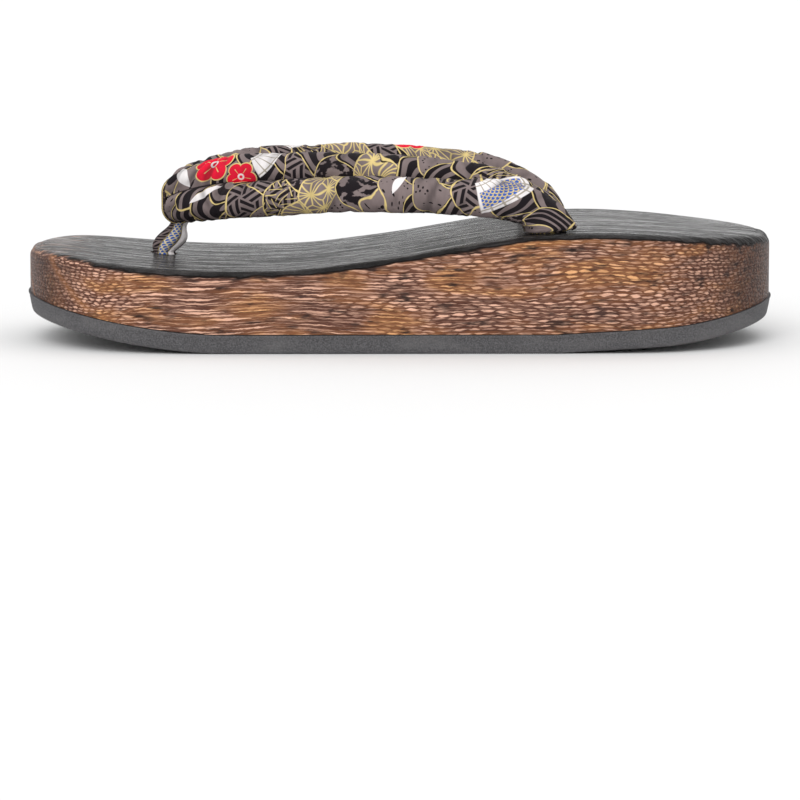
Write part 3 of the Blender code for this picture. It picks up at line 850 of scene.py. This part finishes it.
def with_ribs(half):
    """The half outline with points added at each rib's crest and hollow."""
    stations = [-HALF_LENGTH + i * RIB_PITCH / 2 for i in range(1, int(4 * HALF_LENGTH / RIB_PITCH))]
    points = []
    at = 0
    for (x0, y0), (x1, y1) in zip(half, half[1:]):
        points.append((x0, y0))
        while at < len(stations) and stations[at] < x1 - TINY:
            if stations[at] > x0 + TINY:
                points.append((stations[at], y0 + (y1 - y0) * (stations[at] - x0) / (x1 - x0)))
            at += 1
    return points + [half[-1]]


def rib_lift(x):
    """How far the ribbed underside is above its lowest surface."""
    turn = (x + HALF_LENGTH) / RIB_PITCH
    return RIB_DEPTH * abs(2 * (turn % 1) - 1)


def mirrored_ring(half, heights):
    """A closed ring of points: out along +Y, back along -Y."""
    right = [(x, y, z) for (x, y), z in zip(half, heights)]
    left = [(x, -y, z) for x, y, z in right[-2:0:-1]]
    return right + left


def strip_face(start, half_count):
    """Faces across a mirrored ring, joining the points that share an X."""
    count = 2 * half_count - 2

    def left(i):
        return start + (count - i) % count

    last = half_count - 2
    faces = [(start, start + 1, left(1)), (start + last, start + last + 1, left(last))]
    for i in range(1, last):
        faces.append((start + i, start + i + 1, left(i + 1), left(i)))
    return faces


def make_outsole(material):
    """Rubber layer with a ribbed underside, a side drawn in towards the floor and a small lip on top."""
    half = with_ribs(WALL)
    points = []
    for row in SOLE_SIDE:
        ring = moved_out(half, RUBBER_LIP * row["lip"] - RUBBER_TAPER * row["taper"])
        heights = [sole_underside(x) + RUBBER_THICKNESS * row["rise"] for x, y in ring]
        if row["rise"] == 0:
            heights = [z + rib_lift(x) for z, (x, y) in zip(heights, half)]
        points += mirrored_ring(ring, heights)
    count = 2 * len(half) - 2
    faces = strip_face(0, len(half)) + strip_face((len(SOLE_SIDE) - 1) * count, len(half))
    faces += tube_faces(len(SOLE_SIDE), count, capped=False)
    return make_piece("rubber_outsole", points, faces, material)


def make_wood(material):
    """Carved base with a rolled edge, a hollowed footbed and three drilled holes."""
    points = []
    for row in range(WALL_STEPS + ROLL_STEPS + 1):
        t = max(row - WALL_STEPS, 0) / ROLL_STEPS
        ring, heights = [], []
        shift = 1 - math.cos(math.pi / 2 * t)
        for (x, y), normal in zip(WALL, WALL_NORMALS):
            roll = EDGE_ROLL_WIDTH * smooth_read(EDGE_ROLL, "along", "width", share_along(x))
            px = x - normal[0] * roll * shift
            py = y - normal[1] * roll * shift
            drop = EDGE_ROLL_DROP * smooth_read(EDGE_ROLL, "along", "drop", share_along(px))
            top = footbed_height(px, py, max(abs(py), MM)) - drop * (1 - math.sin(math.pi / 2 * t))
            low = sole_underside(px) + RUBBER_THICKNESS + CLEARANCE
            share = min(row / WALL_STEPS, 1.0)
            ring.append((px, py))
            heights.append(low + (top - low) * share)
        points += mirrored_ring(ring, heights)
    half_count = len(WALL)
    count = 2 * half_count - 2
    faces = strip_face(0, half_count) + tube_faces(WALL_STEPS + ROLL_STEPS + 1, count, capped=False)
    faces += footbed_faces(points, (WALL_STEPS + ROLL_STEPS) * count, half_count)
    wood = make_piece("carved_wood", points, faces, material)
    cutters = hole_cutters()
    for cutter in cutters:
        cut = wood.modifiers.new("hole", "BOOLEAN")
        cut.operation = "DIFFERENCE"
        cut.solver = "EXACT"
        cut.object = cutter
    apply_modifiers(wood)
    for cutter in cutters:
        bpy.data.objects.remove(cutter, do_unlink=True)
    return wood


def footbed_faces(points, start, half_count):
    """Adds the footbed's inner points, and gives the faces inside the ring that starts at start."""
    count = 2 * half_count - 2
    rows = [[start]]
    for i in range(1, half_count - 1):
        right, left = start + i, start + count - i
        x, reach, _ = points[right]
        row = [left]
        for j in range(1, ACROSS_STEPS):
            y = reach * (2 * j / ACROSS_STEPS - 1)
            row.append(len(points))
            points.append((x, y, footbed_height(x, y, reach)))
        rows.append(row + [right])
    rows.append([start + half_count - 1])
    faces = []
    for low, high in zip(rows, rows[1:]):
        for j in range(ACROSS_STEPS):
            if len(low) == 1:
                faces.append((low[0], high[j], high[j + 1]))
            elif len(high) == 1:
                faces.append((low[j], high[0], low[j + 1]))
            else:
                faces.append((low[j], high[j], high[j + 1], low[j + 1]))
    return faces


def hole_cutters():
    """Cylinders that drill through the wood, removed once it is cut."""
    half = REAR_HOLE_SPACING / 2
    cutters = []
    for x, y, diameter in (
        (FRONT_X, 0.0, FRONT_HOLE_DIAMETER),
        (REAR_X, half, REAR_HOLE_DIAMETER),
        (REAR_X, -half, REAR_HOLE_DIAMETER),
    ):
        bpy.ops.mesh.primitive_cylinder_add(
            vertices=HOLE_SIDES, radius=diameter / 2, depth=2 * HEEL_HEIGHT, location=(x, y, HEEL_HEIGHT)
        )
        cutters.append(bpy.context.object)
    return cutters


def apply_modifiers(piece):
    """Leaves the piece with the mesh that its modifiers make."""
    bpy.context.view_layer.update()
    made = bpy.data.meshes.new_from_object(piece.evaluated_get(bpy.context.evaluated_depsgraph_get()))
    piece.modifiers.clear()
    piece.data = made


def two_roll_section(roll, spread):
    """Outline of two stuffed rolls side by side, as places across the strap and towards its outer face.

    It runs from the outer seam round the upper roll, across the lining, and round the lower roll.
    """
    deepest = math.sqrt(1 - (SEAM_WEB / roll) ** 2)
    pinch = math.acos(-min(spread / roll, deepest))
    upper = []
    for i in range(LOBE_STEPS):
        turn = pinch - (pinch + math.pi / 2) * i / (LOBE_STEPS - 1)
        upper.append((spread + roll * math.cos(turn), roll * math.sin(turn)))
    dip = LINING_DIP * min(spread / roll, 1.0)
    for i in range(1, LINING_STEPS):
        u = spread * (1 - i / LINING_STEPS)
        upper.append((u, -roll + dip * math.cos(math.pi / 2 * u / max(spread, TINY)) ** 2))
    lower = [(-u, v) for u, v in reversed(upper[1:])]
    return upper + [(0.0, -roll + dip)] + lower


def placed_section(centre, heading, dive, lean, outline):
    """The section's points in space, square to the strap's run."""
    a, b, c = (math.radians(angle) for angle in (heading, dive, lean))
    outward = Vector((-math.sin(a), math.cos(a), 0.0))
    upward = Vector((math.cos(a) * math.sin(b), math.sin(a) * math.sin(b), math.cos(b)))
    wide = upward * math.cos(c) - outward * math.sin(c)
    face = outward * math.cos(c) + upward * math.sin(c)
    return [Vector(centre) + wide * u + face * v for u, v in outline]


def strap_sections():
    """Sections of the right strap, from the neck to the bottom of its tail, at the table's rows."""
    run = REAR_X - FRONT_X
    reach = REAR_HOLE_SPACING / 2
    rows = [{"row": i, **row} for i, row in enumerate(STRAP_ROWS)]
    sections = []
    for i in range((len(rows) - 1) * TABLE_STEPS + 1):
        at = i / TABLE_STEPS
        read = {column: smooth_read(rows, "row", column, at) for column in STRAP_ROWS[0]}
        x = FRONT_X + run * read["along"]
        y = reach * max(read["out"], 0.0)
        centre = (x, y, surface_height(x, y) + STRAP_RISE * read["rise"])
        outline = two_roll_section(ROLL_RADIUS * read["roll"], ROLL_SPREAD * max(read["spread"], 0.0))
        sections.append(placed_section(centre, read["heading"], read["dive"], read["lean"], outline))
    tail = REAR_HOLE_DIAMETER / 2 - CLEARANCE
    shapes = [
        (BASE_RADIUS * row["radius"], ROLL_SPREAD * row["spread"], BASE_RADIUS * row["height"])
        for row in BASE_ROWS
    ]
    shapes += [(tail, 0.0, CLEARANCE), (tail, 0.0, -TAIL_DEPTH)]
    for radius, spread, above in shapes:
        sections.append(over_footbed(two_roll_section(radius, spread), above))
    return sections


def over_footbed(outline, above):
    """A section laid parallel to the footbed round the rear hole, with its rolls across the sandal."""
    points = [(REAR_X + v, REAR_HOLE_SPACING / 2 - u) for u, v in outline]
    return [Vector((x, y, surface_height(x, y) + above)) for x, y in points]


def between(sections, steps):
    """Sections with steps between each pair, on smooth curves through their points."""
    made = []
    for i in range(len(sections) - 1):
        places = [min(max(i + k, 0), len(sections) - 1) for k in (-1, 0, 1, 2)]
        before, low, high, after = (sections[place] for place in places)
        for k in range(steps):
            t = k / steps
            section = []
            for p0, p1, p2, p3 in zip(before, low, high, after):
                section.append(
                    p1
                    + (p2 - p0) * (t / 2)
                    + (2 * p0 - 5 * p1 + 4 * p2 - p3) * (t * t / 2)
                    + (3 * p1 - 3 * p2 + p3 - p0) * (t**3 / 2)
                )
            made.append(section)
    return made + [sections[-1]]


def make_straps(material):
    """Both stuffed straps as one closed mesh, mirrored at the neck, with a cloth map and its folds."""
    right = between(strap_sections(), STEPS_BETWEEN)
    middles = [sum(section, Vector()) / len(section) for section in right]
    along = [0.0]
    for a, b in zip(middles, middles[1:]):
        along.append(along[-1] + (b - a).length)
    count = len(right[0])
    points, cloth = [], []
    for side in (-1, 1):
        rows = range(len(right) - 1, 0, -1) if side < 0 else range(len(right))
        for i in rows:
            rounds = way_round(right[i])
            for point, way in zip(right[i], rounds):
                points.append((point.x, side * point.y, point.z))
                cloth.append((side * along[i] / MM, way / MM))
    straps = make_piece("stuffed_straps", points, tube_faces(len(points) // count, count), material)
    fold_cloth(straps, cloth, along[-1] / MM)
    return straps


def way_round(section):
    """Distance round a section from its outer seam: up the upper roll, below 0 down the lower one."""
    half = len(section) // 2
    up, down = [0.0], [0.0]
    for i in range(1, half + 1):
        up.append(up[-1] + (section[i] - section[i - 1]).length)
    for i in range(len(section) - 1, half, -1):
        down.append(down[-1] - (section[i] - section[(i + 1) % len(section)]).length)
    return up + down[:0:-1]


def fold_cloth(piece, cloth, length):
    """Moves the straps' points along their normals into their creases, and adds the cloth map."""
    mesh = piece.data
    normals = [vertex.normal.copy() for vertex in mesh.vertices]
    marks = []
    for vertex, normal, (u, v) in zip(mesh.vertices, normals, cloth):
        lift = cloth_lift(u, v, length)
        vertex.co += normal * (lift * MM)
        # The third number is how deep the point lies in a crease; the printed cotton darkens there by it, as
        # painted crease shade
        marks += [u, v, part_of_one(-lift * 1.6)]
    add_cloth_map(mesh, marks)
    mesh.update()


def cloth_lift(u, v, length):
    """Millimetres that the strap's cloth stands out: its stuffing, wrinkles, creases and gathers."""
    from_neck = abs(u)
    from_base = length - from_neck
    calm = part_of_one((from_neck - 6.0) / 6.0) * part_of_one((from_base - 14.0) / 8.0)
    lumps = noise.noise(Vector((u / 16, v / 11, 3.0))) * 0.55
    wrinkle = noise.noise(Vector((u / 3.4 + v / 16, v / 11, 9.0)))
    wrinkle = (max(wrinkle, 0.0) ** 1.5) * -1.3 + noise.noise(Vector((u / 1.8, v / 8, 15.0))) * 0.2
    lift = (lumps + wrinkle) * calm
    for row in CREASES:
        if row["side"] * u > 0:
            x, y = turned(from_neck - row["along"], v - row["round"], row["turn"])
            reach = max(1 - (x / row["length"]) ** 2, 0.0)
            across = y / row["width"]
            lift += row["depth"] * reach * (across * across * 0.9 - 1) * math.exp(-across * across)
    gather = part_of_one(1 - (from_base - 16.0) / 16.0) * part_of_one((from_base - 17.0) / 3.0)
    lift += gather * 0.40 * (abs(math.sin(v * 0.55 + 0.6 * math.sin(v))) - 0.6)
    pull = part_of_one(1 - (from_neck - 8.0) / 14.0) * part_of_one((from_neck - 5.5) / 3.0)
    return lift + pull * 0.60 * (abs(math.sin(v * 0.42 + 0.35 * u * 0.2)) - 0.7)


def neck_facts():
    """Centre, roll radius and spread of the straps' neck, where the front loop passes round it."""
    row = STRAP_ROWS[0]
    x = FRONT_X + (REAR_X - FRONT_X) * row["along"]
    z = surface_height(x, 0.0) + STRAP_RISE * row["rise"]
    return (x, z), ROLL_RADIUS * row["roll"], ROLL_SPREAD * row["spread"]


def oval_place(centre, radius, straight, share):
    """Point and outward direction at a share of the way round an upright oval in the XZ plane."""
    arc, flank = math.pi * radius, 2 * straight
    way = share % 1.0 * 2 * (arc + flank)
    side = 1 if way < arc + flank else -1
    way -= 0 if side > 0 else arc + flank
    if way < arc:
        turn = way / radius
        out = (side * math.cos(turn), side * math.sin(turn))
        return (centre[0] + radius * out[0], centre[1] + side * straight + radius * out[1]), out
    step = straight - (way - arc)
    return (centre[0] - side * radius, centre[1] + side * step), (-side, 0.0)


def band_section():
    """Section of the band as (across, above its inner face): a soft, slightly crowned strip."""
    points = []
    half = BAND_WIDTH / 2
    for i in range(BAND_SIDE_STEPS + 1):
        t = 2 * i / BAND_SIDE_STEPS - 1
        edge = (1 - abs(t) ** 5) ** 0.5
        points.append((half * t, BAND_THICKNESS * (0.35 + 0.65 * edge)))
    return points + [(half * 0.97, 0.0), (-half * 0.97, 0.0)]


def make_band(material):
    """Cloth band round the neck, its outer face rippled in small pleats that run all the way round."""
    centre, roll, spread = neck_facts()
    section = band_section()
    points, cloth = [], []
    for i in range(BAND_ROUND_STEPS):
        share = i / BAND_ROUND_STEPS
        (x, z), out = oval_place(centre, roll + CLEARANCE, spread, share)
        for across, above in section:
            reach = above + PLEAT * math.sin(across / BAND_WIDTH * math.pi * PLEATS_ACROSS) * (above > 0)
            points.append((x + out[0] * reach, across, z + out[1] * reach))
            cloth += [share * BAND_ROUND_STEPS * 0.4, across / MM, 0.0]
    faces = tube_faces(BAND_ROUND_STEPS + 1, len(section), capped=False)
    faces = [tuple(corner % len(points) for corner in face) for face in faces]
    return make_piece("loop_band", points, faces, material, cloth)


def make_stem(material):
    """Twisted cloth stem from the band down into the front hole, of strips wound round each other."""
    (top_x, neck_z), roll, spread = neck_facts()
    top_z = neck_z - spread - roll - CLEARANCE - BAND_THICKNESS
    bottom_z = surface_height(FRONT_X, 0.0)
    low, high = STEM_ROWS[0]["down"], STEM_ROWS[-1]["down"]
    points, cloth = [], []
    for i in range(STEM_STEPS + 1):
        down = low + (high - low) * i / STEM_STEPS
        size = STEM_RADIUS * smooth_read(STEM_ROWS, "down", "size", down)
        turn = math.radians(STEM_TWIST) * smooth_read(STEM_ROWS, "down", "turn", down)
        centre = (top_x + (FRONT_X - top_x) * down, top_z + (bottom_z - top_z) * down)
        add_stem_ring(points, cloth, centre, size, size * STEM_FLATNESS, turn, down)
    tail = FRONT_HOLE_DIAMETER / 2 - CLEARANCE
    for z in (bottom_z - CLEARANCE, bottom_z - TAIL_DEPTH / 2):
        add_stem_ring(points, cloth, (FRONT_X, z), tail, tail * 0.9, math.radians(STEM_TWIST), 1.0)
    return make_piece("loop_stem", points, tube_faces(len(points) // STEM_SIDES, STEM_SIDES), material, cloth)


def add_stem_ring(points, cloth, centre, wide, narrow, turn, down):
    """A level ring of the stem, with the folds between its strips."""
    for i in range(STEM_SIDES):
        angle = 2 * math.pi * i / STEM_SIDES
        strip = angle - turn
        fold = 1 - STEM_FOLD * abs(math.sin(STEM_STRIPS / 2 * strip)) ** 6
        u, v = wide * math.cos(angle) * fold, narrow * math.sin(angle) * fold
        x = centre[0] + v * math.cos(turn) - u * math.sin(turn)
        y = u * math.cos(turn) + v * math.sin(turn)
        points.append((x, y, centre[1]))
        cloth += [down * 25.0, math.cos(strip), math.sin(strip)]


def make_lining(material):
    """Dark lining under the straps, between the two rolls, a hair proud of them."""
    right = between(strap_sections()[:LINING_ROWS], STEPS_BETWEEN)
    points, cloth = [], []
    rows = [(-1, section) for section in right[:0:-1]] + [(1, section) for section in right]
    for i, (side, section) in enumerate(rows):
        strip = section[LOBE_STEPS - LINING_LAP : LOBE_STEPS + 2 * LINING_STEPS - 1 + LINING_LAP]
        middle = sum(section, Vector()) / len(section)
        for j, point in enumerate(strip):
            out = (point - middle).normalized()
            edge = min(j, len(strip) - 1 - j)
            lift = min(edge, 2) / 2 * LINING_PROUD - LINING_SUNK
            place = point + out * lift
            points.append((place.x, side * place.y, place.z))
            cloth += [i * 0.5, j * 0.8, 0.0]
    width = len(points) // len(rows)
    faces = []
    for i in range(len(rows) - 1):
        for j in range(width - 1):
            a = i * width + j
            faces.append((a, a + 1, a + width + 1, a + width))
    lining = make_piece("strap_lining", points, faces, material, cloth)
    thick = lining.modifiers.new("thickness", "SOLIDIFY")
    thick.thickness = LINING_THICKNESS
    thick.offset = 0.0
    apply_modifiers(lining)
    return lining


def make_floor():
    bpy.ops.mesh.primitive_plane_add(size=60.0, location=(0.0, 0.0, -0.05 * MM))
    floor = bpy.context.object
    floor.name = "studio_floor"
    look = Surface("pale_paper")
    x, y, z = look.place()
    colour = look.mix(look.noise(x / 900, y / 900, 0.0), (0.80, 0.80, 0.80), (0.83, 0.83, 0.83))
    floor.data.materials.append(look.finish(colour, 0.8, look.bump(z * 0.0)))


def set_up(name, data, place):
    """A light or a camera at a place, turned to SANDAL_MIDDLE."""
    holder = bpy.data.objects.new(name, data)
    holder.location = place
    holder.rotation_euler = (Vector(SANDAL_MIDDLE) - holder.location).to_track_quat("-Z", "Y").to_euler()
    bpy.context.scene.collection.objects.link(holder)
    return holder


def add_sun(name, place, power, degrees):
    """A sun that shines from a place towards SANDAL_MIDDLE, softened over so many degrees."""
    lamp = bpy.data.lights.new(name, "SUN")
    lamp.energy = power
    lamp.angle = math.radians(degrees)
    set_up(name, lamp, place)


def light_scene():
    """Soft, even studio light from the front and above, in a pale room."""
    add_sun("front_light", (-0.5, -2.0, 1.505), 1.35, 40)
    add_sun("top_light", (0.3, 0.4, 2.005), 0.4, 60)
    world = bpy.data.worlds.new("pale_room")
    world.use_nodes = True
    background = world.node_tree.nodes["Background"]
    background.inputs[0].default_value = (1.0, 1.0, 1.0, 1.0)
    background.inputs[1].default_value = 0.88
    bpy.context.scene.world = world
    bpy.context.scene.view_settings.view_transform = "Standard"


def place_camera():
    """Side view a little above the sandal, which sits in the upper half of the picture."""
    camera = bpy.data.cameras.new("side_camera")
    camera.lens = 141.4
    camera.sensor_width = 36.0
    camera.shift_y = -0.205
    bpy.context.scene.camera = set_up("side_camera", camera, (0.0, -1.1, 0.135))


def main():
    place_camera()
    light_scene()
    make_floor()
    wood = make_scorched_wood()
    cloth = make_print_cloth()
    pieces = [
        (make_outsole(make_rubber()), "outsole", "sole_rubber"),
        (make_wood(wood), "wood_base", "scorched_wood"),
        (make_straps(cloth), "straps", "strap_cotton"),
        (make_lining(make_lining_cloth()), "straps", "strap_cotton"),
        (make_band(make_band_cloth()), "front_loop", "loop_cotton"),
        (make_stem(make_stem_cloth()), "front_loop", "loop_cotton"),
    ]
    for piece, node, slot in pieces:
        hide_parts(node)


main()
